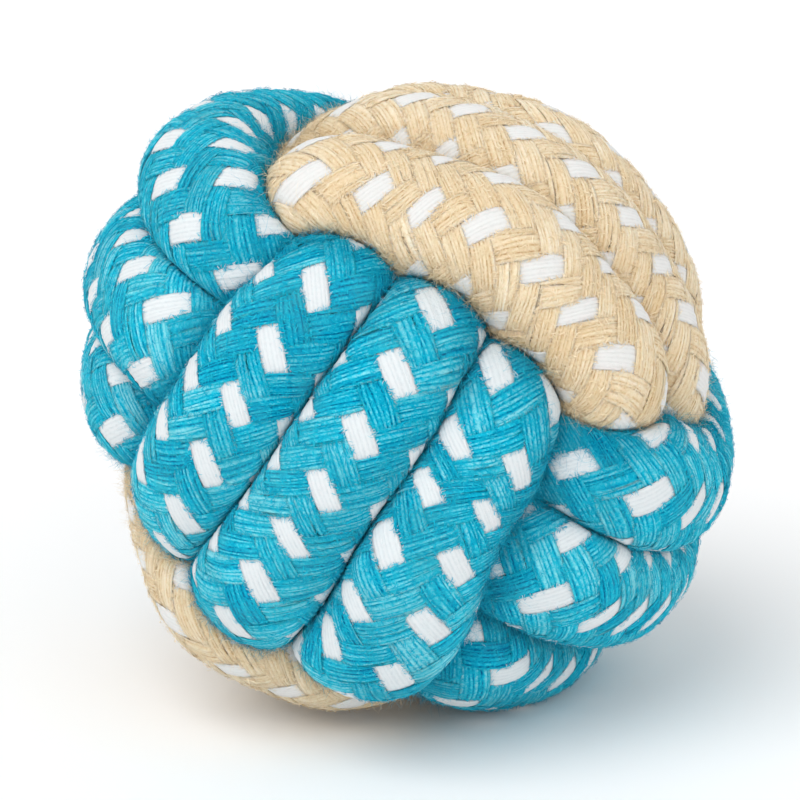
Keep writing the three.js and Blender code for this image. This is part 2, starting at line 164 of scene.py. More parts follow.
def trace(points):
    r = Rope()
    r.p, r.s = spline(points, ROW)
    r.step = r.s[1]
    r.length = r.s[-1]
    r.T = np.gradient(r.p, axis=0)
    r.T /= np.linalg.norm(r.T, axis=1)[:, None]
    r.N = r.p - CENTRE
    r.N -= (r.N * r.T).sum(1)[:, None] * r.T
    r.N /= np.linalg.norm(r.N, axis=1)[:, None]
    r.B = np.cross(r.T, r.N)
    return r


ropes = [trace(L) for L in (FIRST_BAND_LINE, SECOND_BAND_LINE, THIRD_BAND_LINE)]
PHI = np.arange(NPHI) * 2 * np.pi / NPHI
FREE = (np.abs(np.cos(PHI) / ROPE_OUT) ** 2.2 + np.abs(np.sin(PHI) / ROPE_SIDE) ** 2.2) ** (-1 / 2.2)


def radii(r):
    """Distance from the centre line to the surface: the free oval, or half way to the next strand, or the heart."""
    out = np.empty((len(r.s), NPHI))
    for i in range(len(r.s)):
        near = []
        for o in ropes:
            d = o.p - r.p[i]
            m = (d * d).sum(1) < 19.5**2
            if o is r:
                m &= np.abs(o.s - r.s[i]) > TURN_CLEAR
            near.append(d[m])
        near = np.vstack(near)
        U = np.cos(PHI)[:, None] * r.N[i] + np.sin(PHI)[:, None] * r.B[i]
        v = np.full(NPHI, 50.0)
        if len(near):
            dot = U @ near.T
            v = np.where(dot > 1e-6, (near * near).sum(1) / (2 * np.maximum(dot, 1e-6)), 50).min(1) - STRAND_GAP / 2
        c = r.p[i] - CENTRE
        bq = U @ c
        disc = bq * bq - c @ c + HEART_CLEAR**2
        v = np.minimum(v, np.where((disc > 0) & (bq < 0), -bq - np.sqrt(np.maximum(disc, 0)), 50))
        m = np.minimum(v, FREE)
        out[i] = m - np.log(np.exp(-3 * (v - m)) + np.exp(-3 * (FREE - m))) / 3
    end = np.minimum(r.s, r.length - r.s)
    return out - (WHIP_DRAW * (1 - smooth01((end - WHIP_LENGTH) / WHIP_TAPER)))[:, None]


for r in ropes:
    r.R = radii(r)
    ring = np.hstack([r.R, r.R[:, :1]])
    ang = np.arange(NPHI + 1) * 2 * np.pi / NPHI
    x, y = ring * np.cos(ang), ring * np.sin(ang)
    c = np.hstack([np.zeros((len(r.s), 1)), np.cumsum(np.hypot(np.diff(x, axis=1), np.diff(y, axis=1)), axis=1)])
    r.girth = c[:, -1]
    c = c / c[:, -1:]
    u = np.arange(NU) / NU
    r.phi = np.stack([np.interp(u, c[i], ang) for i in range(len(r.s))])
    rad = np.stack([np.interp(r.phi[i], ang, ring[i]) for i in range(len(r.s))])
    r.dir = np.cos(r.phi)[..., None] * r.N[:, None] + np.sin(r.phi)[..., None] * r.B[:, None]
    r.pos = r.p[:, None] + rad[..., None] * r.dir

# which stretches lie open to the outside
line = np.vstack([r.p[::3] for r in ropes])
for r in ropes:
    X = r.pos[::3, ::5]
    d = X - CENTRE
    far = np.linalg.norm(d, axis=2)
    d = d / far[..., None]
    hid = np.zeros(far.shape, bool)
    for i in range(len(X)):
        v = line[None] - X[i][:, None]
        along = (v * d[i][:, None]).sum(2)
        side2 = (v * v).sum(2) - along**2
        hid[i] = ((along > 0.8) & (side2 < 5.2**2)).any(1)
    open_ = (~hid) & (np.cos(r.phi[::3, ::5]) > -0.35)
    g = open_.copy()
    for di in (-1, 0, 1):
        for dj in (-1, 0, 1):
            s = np.roll(open_, dj, axis=1)
            if di:
                s = np.vstack([s[:1], s[:-1]]) if di > 0 else np.vstack([s[1:], s[-1:]])
            g |= s
    r.open = np.repeat(np.repeat(g, 3, axis=0)[: len(r.s)], 5, axis=1).astype(float)
    # deep grows towards the heart of the ball; the materials paint shade in by it
    r.deep = smooth01((34.0 - np.linalg.norm(r.pos - CENTRE, axis=2)) / 6.0)

# how close the surface lies to another band's strands, and how strong a painted shadow of that strand is put there
for r, haze in zip(ropes, (0.45, 0.5, 0.2)):
    r.haze = haze
    X = r.pos[::2, ::6]
    Y = np.vstack([o.pos[::2, ::6].reshape(-1, 3) for o in ropes if o is not r])
    gap = np.empty(X.shape[:2])
    for i in range(len(X)):
        y = Y[((Y - r.p[2 * i]) ** 2).sum(1) < 13.0**2]
        gap[i] = np.sqrt(((X[i][:, None] - y[None]) ** 2).sum(2).min(1)) if len(y) else 9.0
    g = np.repeat(np.repeat(gap, 2, axis=0)[: len(r.s)], 6, axis=1)
    for shift in (1, 2, 3):
        g = (g + np.roll(g, shift, axis=1) + np.roll(g, -shift, axis=1)) / 3
    g[1:-1] = (g[:-2] + g[1:-1] + g[2:]) / 3
    r.near = smooth01((5.0 - g) / 4.0)


def look_up(r, tab, s, u):
    x = np.clip(s / r.step, 0, len(r.s) - 1.001)
    i = x.astype(int)
    fx = x - i
    y = (u % 1) * NU
    j = y.astype(int) % NU
    fy = y - np.floor(y)
    j1 = (j + 1) % NU
    if tab.ndim == 3:
        fx, fy = fx[..., None], fy[..., None]
    return (tab[i, j] * (1 - fy) + tab[i, j1] * fy) * (1 - fx) + (tab[i + 1, j] * (1 - fy) + tab[i + 1, j1] * fy) * fx


for r, cnt, trn in zip(ropes, COUNT, TURN):
    s0, t0 = cnt[0]
    s1, t1 = cnt[-1]
    a, b = -40.0, r.length + 40.0
    r.count_s = np.array([a] + [c[0] for c in cnt] + [b])
    r.count_t = np.array([t0 + (a - s0) / SPAN] + [c[1] for c in cnt] + [t1 + (b - s1) / SPAN])
    r.turn_s = np.array([c[0] for c in trn])
    r.turn_u = np.array([c[1] for c in trn])


# ------------------------------------------------------------------ mesh helpers
def make_mesh(name, verts, faces, attrs, uv=None):
    """faces: list of int arrays (n, sides)."""
    me = bpy.data.meshes.new(name)
    me.vertices.add(len(verts))
    me.vertices.foreach_set("co", np.asarray(verts, np.float32).ravel())
    corners = np.concatenate([f.ravel() for f in faces]).astype(np.int32)
    total = np.concatenate([np.full(len(f), f.shape[1]) for f in faces]).astype(np.int32)
    start = np.r_[0, np.cumsum(total)[:-1]].astype(np.int32)
    me.loops.add(len(corners))
    me.loops.foreach_set("vertex_index", corners)
    me.polygons.add(len(total))
    me.polygons.foreach_set("loop_start", start)
    me.polygons.foreach_set("use_smooth", np.ones(len(total), bool))
    me.update(calc_edges=True)
    for key, val in attrs.items():
        kind = "FLOAT_VECTOR" if val.ndim == 2 else "FLOAT"
        at = me.attributes.new(key, kind, "POINT")
        at.data.foreach_set("vector" if val.ndim == 2 else "value", np.asarray(val, np.float32).ravel())
    if uv is not None:
        layer = me.uv_layers.new(name="OFBake", do_init=False)
        layer.uv.foreach_set("vector", np.concatenate([x.reshape(-1, 2) for x in uv]).astype(np.float32).ravel())
    me.validate()
    ob = bpy.data.objects.new(name, me)
    bpy.context.scene.collection.objects.link(ob)
    return ob


def press(v):
    """What would reach below the floor is pressed flat on it, with its layers kept in order."""
    v = v.copy()
    z = v[:, 2]
    soft = 0.35
    v[:, 2] = np.maximum(np.where(z < soft, soft * np.exp(np.minimum(z - soft, 0) / soft), z), 0.01)
    return v


def drift(n, step, rows):
    """A slow random value along a yarn, one for each of rows places."""
    knots = rng.standard_normal(int(n / step) + 3)
    x = rows / step
    i = np.clip(x.astype(int), 0, len(knots) - 2)
    f = x - i
    f = f * f * (3 - 2 * f)
    return knots[i] * (1 - f) + knots[i + 1] * f


# ------------------------------------------------------------------ braided covers
def ribbon(r, slip, own, lay, yarns, per_yarn, scallop, raised, share, loose=1.0, sunk=0.0):
    """One carrier's ribbon. lay is -1 for the S carriers and +1 for the Z carriers, share its width over the
    carrier spacing, loose how unevenly its yarns lie, and sunk how far it lies below its neighbours."""
    t_lo, t_hi = np.interp([0, r.length], r.count_s, r.count_t)
    # k counts the crossings along the ribbon; the ribbon is over at k = 0 and 1, modulo 4
    if lay < 0:
        k_lo, k_hi = 2 * own - 4 * (t_hi - 0.125), 2 * own - 4 * (t_lo - 0.125)
    else:
        k_lo, k_hi = 2 * own + 4 * (t_lo - 0.125), 2 * own + 4 * (t_hi - 0.125)
    m = np.arange(math.ceil((k_lo - 0.5) * 3), math.floor((k_hi - 0.5) * 3) + 1)
    k = 0.5 + m / 3.0

    def place(kk, b):
        a = kk - own                       # along, counted in carriers of the other way
        if lay < 0:
            up, q = (own + b + a) / 20.0, (own + b - a) / 20.0
        else:
            up, q = (a + own + b) / 20.0, (a - own - b) / 20.0
        s = np.interp(5 * q + 0.125, r.count_t, r.count_s) + slip * np.sin(2 * np.pi * up)
        s = np.clip(s, 0, r.length)
        return s, up + np.interp(s, r.turn_s, r.turn_u)

    fine = np.zeros(len(k), bool)
    for b in (-0.45, 0, 0.45):
        s, u = place(k, b)
        fine |= look_up(r, r.open, s, u) > 0.02
    fine |= np.r_[fine[1:], False] | np.r_[False, fine[:-1]]
    keep = fine | (m % 6 == 0)
    keep[0] = keep[-1] = True
    k, fine = k[keep], fine[keep]
    n = len(k)
    # the section: yarns side by side with a fold between each two
    cut = np.array([0.0, 0.5]) if per_yarn == 2 else np.array([0.0, 0.26, 0.74])
    pos = np.r_[np.concatenate([(y + cut) / yarns for y in range(yarns)]), 1.0] - 0.5
    crest = np.r_[np.tile(np.r_[0.0, np.ones(per_yarn - 1)], yarns), 0.0]
    crest[[0, -1]] = 0.55
    yarn_of = np.r_[np.repeat(np.arange(yarns), per_yarn), yarns - 1]
    width = share * (1 + 0.025 * drift(n, 3, k - k[0]))
    wob = 0.025 * drift(n, 4, k - k[0])
    B = pos[None] * width[:, None] + wob[:, None]
    lift = np.stack([drift(n, 1.3, k - k[0]) for _ in range(yarns)], 1)
    side = np.stack([drift(n, 1.5, k - k[0]) for _ in range(yarns)], 1)
    inner = (np.abs(pos) < 0.49)
    B += np.where(inner, 0.28 * loose * share / yarns, 0)[None] * side[:, yarn_of]
    s, u = place(k[:, None], B)
    f = np.tanh(2.0 * np.cos(2 * np.pi * (k - 0.5) / 4)) / math.tanh(2.0)
    # the S ribbons are over where the Z ribbons are under
    sign = 1.0 if lay < 0 else -1.0
    over = 0.5 + 0.5 * sign * f
    puff = 1 + 0.18 * drift(n, 4, k - k[0])
    h = -2 * WAVE * (1 - over) - sunk
    H = h[:, None] - scallop * (1 - crest)[None] * (1 + 0.35 * side[:, yarn_of]) + 0.07 * loose * lift[:, yarn_of] * crest[None]
    H += (raised * puff * over)[:, None] * (1 - (2 * pos) ** 4)[None]
    H -= 0.045 * ((2 * pos) ** 4)[None] * (0.4 + 0.6 * over[:, None])
    top = look_up(r, r.pos, s, u) + H[..., None] * look_up(r, r.dir, s, u)
    bb = np.array([0.36, -0.36])[None] * width[:, None] + wob[:, None]
    s2, u2 = place(k[:, None], bb)
    low = look_up(r, r.pos, s2, u2) + (h - THICK)[:, None, None] * look_up(r, r.dir, s2, u2)
    loop = np.concatenate([top, low], axis=1)
    nt, nl = top.shape[1], loop.shape[1]
    # lengths for the fibre coordinates
    mid = top[:, nt // 2]
    step = np.linalg.norm(np.diff(mid, axis=0), axis=1)
    run = np.r_[0, np.cumsum(step)]
    across = np.linalg.norm(np.diff(top, axis=1), axis=2).mean(0)
    across = np.r_[0, np.cumsum(across)]
    face = np.cross(np.gradient(top, axis=0), np.gradient(top, axis=1))
    face *= np.sign((face * look_up(r, r.dir, s, u)).sum(2))[..., None]
    face /= np.linalg.norm(face, axis=2)[..., None] + 1e-12
    along = np.gradient(top, axis=0)
    along /= np.linalg.norm(along, axis=2)[..., None] + 1e-12
    opened = look_up(r, r.open, s, u)
    near = look_up(r, r.near, s, u)
    # painted shade: deeper in the ball, and a painted shadow beside another band's strands
    deep = np.maximum(look_up(r, r.deep, s, u), r.haze * near**1.5)
    seed = rng.random()
    tone = np.clip(0.5 + 0.20 * np.stack([drift(n, 6, k - k[0]) for _ in range(yarns)], 1)
                   + 0.16 * drift(n, 4, k - k[0])[:, None], 0, 1)
    A = {}
    low_pad = np.zeros((n, nl - nt))
    # the side walls take a middling crest, so they get about half the painted fold shade
    A["crest"] = np.hstack([np.broadcast_to(crest, (n, nt)), low_pad + 0.55])
    A["over"] = np.hstack([np.broadcast_to(over[:, None], (n, nt)), low_pad])
    A["tone"] = np.hstack([tone[:, yarn_of], low_pad + 0.5])
    # the side walls under the edges get more painted shade than the edges above them
    A["deep"] = np.hstack([deep, np.clip(deep[:, [-1, 0]] + 0.3, 0, 1)])
    fib = np.empty((n, nl, 3))
    fib[..., 0] = run[:, None]
    fib[:, :nt, 1] = across[None]
    fib[:, nt:, 1] = across[-1]
    fib[..., 2] = seed * 50
    # texture strip lengths: hidden stretches are given less room
    room = np.where(fine[:-1] & fine[1:], 1.0, 0.25) * step
    return dict(v=loop, n=n, nl=nl, nt=nt, attr=A, fib=fib, run=np.r_[0, np.cumsum(room)], open=opened,
                over=np.broadcast_to(over[:, None], (n, nt)), radial=look_up(r, r.dir, s, u), across=across,
                face=face, along=along, near=near, edge=np.broadcast_to(np.abs(pos) > 0.49, (n, nt)))


def join(name, ribbons):
    verts, quads, caps, uvq, uvc = [], [], [], [], []
    attrs = {k: [] for k in ("crest", "over", "tone", "deep", "fibre")}
    total = sum(b["run"][-1] for b in ribbons)
    high = 3.9                                         # room across one strip, mm
    W = math.sqrt(total * high)
    off, base = 0, 0.0
    for b in ribbons:
        n, nl, nt = b["n"], b["nl"], b["nt"]
        ids = off + np.arange(n * nl).reshape(n, nl)
        nx = np.roll(ids, -1, axis=1)
        q = np.stack([ids[:-1], ids[1:], nx[1:], nx[:-1]], -1).reshape(-1, 4)
        v = b["v"]
        i = n // 2
        out = np.einsum("ij,ij->i", np.cross(v[i + 1, :nt - 1] - v[i, :nt - 1], v[i, 1:nt] - v[i, :nt - 1]), b["radial"][i, :nt - 1])
        flip = np.median(out) < 0
        # strip coordinates of each face
        yc = np.r_[b["across"], b["across"][-1] + 0.25, b["across"][-1] + 0.45, b["across"][-1] + 0.65]
        x0, x1 = base + b["run"][:-1], base + b["run"][1:]
        row = np.floor(x0 / W)
        ax, bx = (x0 - row * W), (x1 - row * W)
        y0 = np.broadcast_to(yc[:-1], (n - 1, nl)) + (row * high)[:, None]
        y1 = np.broadcast_to(yc[1:], (n - 1, nl)) + (row * high)[:, None]
        A2, B2 = np.broadcast_to(ax[:, None], (n - 1, nl)), np.broadcast_to(bx[:, None], (n - 1, nl))
        uq = np.stack([np.stack([A2, y0], -1), np.stack([B2, y0], -1), np.stack([B2, y1], -1), np.stack([A2, y1], -1)], 2).reshape(-1, 4, 2)
        cap = np.stack([ids[0], ids[-1][::-1]])
        uc = np.zeros((2, nl, 2)) + np.array([ax[0], y0[0, 0]])
        if flip:
            q, uq, cap = q[:, ::-1], uq[:, ::-1], cap[:, ::-1]
        quads.append(q)
        uvq.append(uq)
        caps.append(cap)
        uvc.append(uc)
        verts.append(v.reshape(-1, 3))
        for key in ("crest", "over", "tone", "deep"):
            attrs[key].append(b["attr"][key].ravel())
        attrs["fibre"].append(b["fib"].reshape(-1, 3))
        off += n * nl
        base += b["run"][-1] + 3
    rows = math.ceil(base / W) + 1
    sx, sy = W + 6, rows * high + 1
    scale = np.array([1 / sx, 1 / sy])
    faces = [np.concatenate(quads)] + caps
    uv = [np.concatenate(uvq) * scale] + [x * scale for x in uvc]
    v = press(np.vstack(verts)) * MM
    return make_mesh(name, v, faces, {k: np.concatenate(x) for k, x in attrs.items()}, uv)


# ------------------------------------------------------------------ materials
class Nodes:
    def __init__(self, name):
        self.mat = bpy.data.materials.new(name)
        self.mat.use_nodes = True
        self.t = self.mat.node_tree
        self.t.nodes.clear()
        self.out = self.t.nodes.new("ShaderNodeOutputMaterial")
        self.bsdf = self.t.nodes.new("ShaderNodeBsdfPrincipled")
        self.t.links.new(self.bsdf.outputs[0], self.out.inputs["Surface"])

    def put(self, socket, value):
        if isinstance(value, bpy.types.NodeSocket):
            self.t.links.new(value, socket)
        elif value is not None:
            socket.default_value = value

    def attr(self, name, what="Fac"):
        n = self.t.nodes.new("ShaderNodeAttribute")
        n.attribute_name = name
        return n.outputs[what]

    def place(self):
        return self.t.nodes.new("ShaderNodeTexCoord").outputs["Object"]

    def scaled(self, vec, scale):
        n = self.t.nodes.new("ShaderNodeMapping")
        self.put(n.inputs["Vector"], vec)
        n.inputs["Scale"].default_value = scale
        return n.outputs[0]

    def turned(self, vec, angle, scale):
        n = self.t.nodes.new("ShaderNodeMapping")
        n.vector_type = "TEXTURE"
        self.put(n.inputs["Vector"], vec)
        n.inputs["Rotation"].default_value = (0, 0, angle)
        return self.scaled(n.outputs[0], scale)

    def noise(self, vec, scale, detail=2.0, rough=0.5, bend=0.0):
        n = self.t.nodes.new("ShaderNodeTexNoise")
        self.put(n.inputs["Vector"], vec)
        n.inputs["Scale"].default_value = scale
        n.inputs["Detail"].default_value = detail
        n.inputs["Roughness"].default_value = rough
        n.inputs["Distortion"].default_value = bend
        return n.outputs["Fac"]

    def math(self, op, a, b=None, c=None, clamp=False):
        n = self.t.nodes.new("ShaderNodeMath")
        n.operation = op
        n.use_clamp = clamp
        for s, v in zip(n.inputs, (a, b, c)):
            self.put(s, v)
        return n.outputs[0]

    def ramp(self, fac, stops):
        n = self.t.nodes.new("ShaderNodeValToRGB")
        el = n.color_ramp.elements
        while len(el) < len(stops):
            el.new(0.5)
        for e, (x, c) in zip(el, stops):
            e.position = x
            e.color = (*c, 1)
        self.put(n.inputs[0], fac)
        return n.outputs[0]

    def mix(self, fac, a, b, how="MIX"):
        n = self.t.nodes.new("ShaderNodeMix")
        n.data_type = "RGBA"
        n.blend_type = how
        self.put(n.inputs[0], fac)
        self.put(n.inputs[6], a if isinstance(a, bpy.types.NodeSocket) else (*a, 1))
        self.put(n.inputs[7], b if isinstance(b, bpy.types.NodeSocket) else (*b, 1))
        return n.outputs[2]

    def bump(self, height, distance, strength):
        n = self.t.nodes.new("ShaderNodeBump")
        n.inputs["Strength"].default_value = strength
        n.inputs["Distance"].default_value = distance
        self.put(n.inputs["Height"], height)
        self.t.links.new(n.outputs[0], self.bsdf.inputs["Normal"])

    def finish(self, rough, sheen, tint, sheen_rough=0.45, spec=0.2, soft=0.0):
        b = self.bsdf.inputs
        b["Roughness"].default_value = rough
        b["Sheen Weight"].default_value = sheen
        b["Sheen Roughness"].default_value = sheen_rough
        b["Sheen Tint"].default_value = (*tint, 1)
        b["Specular IOR Level"].default_value = spec
        b["Subsurface Weight"].default_value = soft
        b["Subsurface Radius"].default_value = (0.8, 1.0, 1.0)
        b["Subsurface Scale"].default_value = 0.0005
        return self.mat


def srgb(r, g, b):
    return tuple(c / 255 / 12.92 if c <= 10.3 else ((c / 255 + 0.055) / 1.055) ** 2.4 for c in (r, g, b))


def cotton(name, dark, mid, full, light, faded, crease, sheen, tint, streak=0.5, shade=0.5, grain=0.8, level=0.45, uneven=0.2):
    """Dyed cotton yarns lying side by side, uneven in dye, with a painted highlight on the crests, painted shade in
    the folds, and painted shade deep in the ball and beside another band.
    """
    m = Nodes(name)
    fib = m.attr("fibre", "Vector")
    fine = m.noise(m.scaled(fib, (1.1, 9.0, 1.0)), 1.0, 4.0, 0.62, 0.9)
    lint = m.noise(m.scaled(fib, (3.2, 4.4, 1.0)), 1.0, 3.0, 0.7, 1.2)
    twist = m.noise(m.turned(fib, 0.42, (1.6, 7.0, 1.0)), 1.0, 2.0, 0.6, 0.4)
    patch = m.noise(m.place(), 190.0, 3.0, 0.6)
    fleece = m.noise(m.place(), 2600.0, 4.0, 0.7)
    fold_shade_dashes = m.noise(m.scaled(fib, (1.3, 1.1, 1.0)), 1.0, 2.0, 0.6)
    # painted shade: the folds between the yarns show as short dark dashes below broad even crests, which carry a
    # painted highlight; a noise breaks the fold shade into dashes
    gap = m.math("SUBTRACT", 1.0, m.attr("crest"))
    gap = m.math("MULTIPLY", gap, gap)
    depth = m.math("MAXIMUM", m.math("MULTIPLY_ADD", fold_shade_dashes, 5.0 * shade, -1.55 * shade), 0.0)
    x = m.math("MULTIPLY_ADD", m.math("SUBTRACT", 0.3, gap), depth, level)
    x = m.math("MULTIPLY_ADD", m.math("SUBTRACT", fine, 0.5), streak, x)
    x = m.math("MULTIPLY_ADD", m.math("SUBTRACT", m.attr("tone"), 0.5), 0.75 * grain, x)
    x = m.math("MULTIPLY_ADD", m.math("SUBTRACT", fleece, 0.5), 0.8 * grain, x)
    x = m.math("MULTIPLY_ADD", m.math("SUBTRACT", twist, 0.5), 0.5 * grain, x)
    x = m.math("MULTIPLY_ADD", m.math("SUBTRACT", lint, 0.5), 1.1 * grain, x, clamp=True)
    c = m.ramp(x, [(0.0, dark), (0.34, mid), (0.62, full), (1.0, light)])
    f = m.math("MULTIPLY_ADD", patch, 2.6, -1.15, clamp=True)
    c = m.mix(m.math("MULTIPLY", f, 0.5), c, faded)
    g = m.math("MULTIPLY_ADD", m.noise(m.place(), 95.0, 2.0, 0.5), 2.4, -1.0, clamp=True)
    # random patches of uneven dye take the same crease colour
    c = m.mix(m.math("MULTIPLY", g, uneven), c, crease, "MULTIPLY")
    # painted shade deep in the ball and beside another band's strands, in the crease colour
    c = m.mix(m.math("MULTIPLY", m.attr("deep"), 0.72), c, crease, "MULTIPLY")
    m.put(m.bsdf.inputs["Base Color"], c)
    h = m.math("ADD", m.math("MULTIPLY", fine, 0.5), m.math("MULTIPLY", lint, 0.5))
    h = m.math("MULTIPLY_ADD", fleece, 1.0, h)
    h = m.math("MULTIPLY_ADD", twist, 0.5, h)
    m.bump(h, 0.00022, 0.9)
    return m.finish(1.0, sheen, tint, 0.45, 0.06, 0.7)


def bleached(name, low, high, crease, sheen, tint):
    """Smooth white yarn, with a painted highlight on the crests, painted shade in the folds, and painted shade deep in
    the ball.
    """
    m = Nodes(name)
    fib = m.attr("fibre", "Vector")
    fine = m.noise(m.scaled(fib, (0.7, 7.0, 1.0)), 1.0, 3.0, 0.55)
    fleece = m.noise(m.place(), 2600.0, 4.0, 0.7)
    # painted highlight on the yarn crests, painted shade in the folds
    x = m.math("MULTIPLY_ADD", m.attr("crest"), 0.3, 0.4)
    x = m.math("MULTIPLY_ADD", m.math("SUBTRACT", fleece, 0.5), 0.7, x)
    x = m.math("MULTIPLY_ADD", m.math("SUBTRACT", fine, 0.5), 0.4, x, clamp=True)
    c = m.ramp(x, [(0.1, low), (0.6, high)])
    # painted shade deep in the ball and beside another band's strands, in the crease colour
    c = m.mix(m.math("MULTIPLY", m.attr("deep"), 0.35), c, crease, "MULTIPLY")
    m.put(m.bsdf.inputs["Base Color"], c)
    m.bump(m.math("MULTIPLY_ADD", fleece, 1.0, fine), 0.00014, 0.7)
    return m.finish(0.95, sheen, tint, 0.5, 0.1, 0.7)


# the dark stop is reached in the painted fold shade and in dark random fibre noise, the light stop on painted crest
# highlights and in light noise; the crease colour is painted shade deep in the ball and beside other strands, and also
# darkens random patches of uneven dye
blue = cotton("blue_cotton", srgb(0, 100, 146), srgb(0, 162, 198), srgb(20, 191, 217), srgb(140, 222, 234), srgb(84, 200, 208),
              srgb(0, 128, 154), 0.06, srgb(190, 232, 240), 0.2, 0.50, 0.8, 0.585, 0.5)
beige = cotton("beige_cotton", srgb(172, 128, 84), srgb(221, 198, 159), srgb(238, 222, 192), srgb(249, 240, 221), srgb(226, 198, 152),
               srgb(222, 205, 178), 0.18, srgb(250, 240, 224), 0.2, 0.34, 0.5, 0.54, 0.3)
white = bleached("white_cotton", srgb(196, 204, 208), srgb(217, 222, 224), srgb(184, 202, 209), 0.1, (1, 1, 1))
white_on_beige = bleached("white_cotton_on_beige", srgb(206, 206, 204), srgb(222, 222, 220), srgb(210, 201, 187), 0.1, (1, 1, 1))


def lint_material(name, a, mid, b, crease, tint):
    m = Nodes(name)
    n = m.noise(m.place(), 900.0, 2.0)
    x = m.math("MULTIPLY_ADD", m.attr("tone"), 0.8, m.math("MULTIPLY_ADD", n, 0.8, -0.3), clamp=True)
    c = m.ramp(x, [(0.0, a), (0.55, mid), (1.0, b)])
    # painted shade on the fibres deep in the ball and beside another band's strands
    c = m.mix(m.math("MULTIPLY", m.attr("deep"), 0.65), c, crease, "MULTIPLY")
    m.put(m.bsdf.inputs["Base Color"], c)
    return m.finish(1.0, 0.06, tint, 0.45, 0.05)


# the crease colours of the lint are painted shade deep in the ball and beside other strands
blue_lint = lint_material("blue_lint", srgb(0, 152, 188), srgb(14, 178, 207), srgb(50, 193, 212), srgb(0, 132, 156), srgb(220, 242, 248))
beige_lint = lint_material("beige_lint", srgb(219, 193, 151), srgb(233, 214, 180), srgb(243, 230, 204), srgb(216, 201, 176), srgb(255, 248, 235))
white_lint = lint_material("white_lint", srgb(204, 210, 213), srgb(216, 221, 223), srgb(224, 228, 230), srgb(188, 204, 210), (1, 1, 1))


# ------------------------------------------------------------------ lint: loose fibre ends on the yarns
def fuzz(name, ribbons, count, long_, radius, where="face"):
    """where: face all over the ribbons, crease in the hollows beside the next strand, edge across the ribbons' edges."""
    hollow = where == "crease"
    pts, nrm, way, deep, near = [], [], [], [], []
    for b in ribbons:
        m = (b["open"] > 0.35) & (b["over"] > 0.3)
        if where == "edge":
            m = m & b["edge"]
        pts.append(b["v"][:, :b["nt"]][m])
        nrm.append(b["face"][m])
        way.append(b["along"][m])
        deep.append(b["attr"]["deep"][:, :b["nt"]][m])
        near.append(b["near"][m])
    pts, nrm, way, deep, near = np.vstack(pts), np.vstack(nrm), np.vstack(way), np.concatenate(deep), np.concatenate(near)
    share = np.clip((deep - 0.08) / 0.2, 0, 1) * np.clip((0.9 - deep) / 0.3, 0, 1) * 0.35 + near + 1e-5 if hollow else 1 + 0.5 * deep
    pick = rng.choice(len(pts), count, p=share / share.sum())
    n, t = nrm[pick], way[pick]
    t = t - (t * n).sum(1)[:, None] * n
    t /= np.linalg.norm(t, axis=1)[:, None]
    w = np.cross(n, t)
    # most fibres follow the yarn, the rest lie any way
    lean = np.where(rng.random(count) < 0.28, rng.normal(0, 0.45, count), rng.uniform(-1.57, 1.57, count)) + math.pi * rng.integers(0, 2, count)
    if where == "edge":
        lean = rng.normal(math.pi / 2, 0.55, count) + math.pi * rng.integers(0, 2, count)
    t, w = np.cos(lean)[:, None] * t + np.sin(lean)[:, None] * w, np.cos(lean)[:, None] * w - np.sin(lean)[:, None] * t
    p = pts[pick] + rng.uniform(-0.3, 0.3, count)[:, None] * way[pick] + rng.uniform(-0.25, 0.25, count)[:, None] * w
    p += rng.uniform(0.01, 0.09, count)[:, None] * n
    L = long_ * rng.uniform(0.4, 1.3, count) * (1 + 0.5 * deep[pick])
    rise = rng.gamma(1.5, 0.13 if hollow else 0.07, count)
    curl = rng.normal(0, 0.5 if hollow else 0.4, count)
    back = rng.normal(0.5, 0.3, count)
    M = 3
    tau = np.linspace(0, 1, M)
    path = (p[:, None] + (L[:, None] * (tau - 0.5))[..., None] * t[:, None]
            + (L[:, None] * rise[:, None] * np.sin(math.pi * (0.15 + 0.7 * tau)) - 0.1 * back[:, None] * L[:, None] ** 2 * (tau - 0.5) ** 2)[..., None] * n[:, None]
            + (L[:, None] * curl[:, None] * (tau - 0.5) ** 2)[..., None] * w[:, None])
    if hollow:
        # loose ends that stand off the yarn and bend over
        up = rng.uniform(0.2, 1.35, count)
        path = (p[:, None] + (L[:, None] * tau)[..., None] * (np.cos(up)[:, None] * t + np.sin(up)[:, None] * n)[:, None]
                + (L[:, None] * curl[:, None] * tau ** 2)[..., None] * w[:, None] - (0.35 * L[:, None] * tau ** 2)[..., None] * n[:, None])
    tan = np.gradient(path, axis=1)
    tan /= np.linalg.norm(tan, axis=2)[..., None]
    a = np.cross(tan, n[:, None])
    a /= np.linalg.norm(a, axis=2)[..., None] + 1e-9
    c = np.cross(a, tan)
    roll = rng.uniform(-0.6, 0.6, count)[:, None, None]
    a = np.cos(roll) * a + np.sin(roll) * c
    rad = radius * np.array([0.5, 1.0, 0.35])[None, :, None] * rng.uniform(0.7, 1.4, count)[:, None, None]
    v = np.stack([path - rad * a, path + rad * a], 2).reshape(-1, 3)
    v[:, 2] = np.maximum(v[:, 2], 0.03)
    ids = np.arange(count * M * 2).reshape(count, M, 2)
    q = np.stack([ids[:, :-1, 0], ids[:, :-1, 1], ids[:, 1:, 1], ids[:, 1:, 0]], -1).reshape(-1, 4)
    tone = np.repeat(rng.random(count), M * 2)
    # one small cell of the texture for each fibre
    side = math.ceil(math.sqrt(count))
    cell = np.stack([np.arange(count) % side, np.arange(count) // side], -1)[:, None, None]
    ends = np.linspace(0.15, 0.85, M)
    lo, hi = ends[:-1], ends[1:]
    uv = np.stack([np.stack([lo, np.full(M - 1, 0.15)], -1), np.stack([lo, np.full(M - 1, 0.85)], -1),
                   np.stack([hi, np.full(M - 1, 0.85)], -1), np.stack([hi, np.full(M - 1, 0.15)], -1)], 1)
    uv = ((cell + uv[None]) / side).reshape(-1, 4, 2)
    return make_mesh(name, v * MM, [q], {"tone": tone, "deep": np.repeat(deep[pick], M * 2)}, [uv])


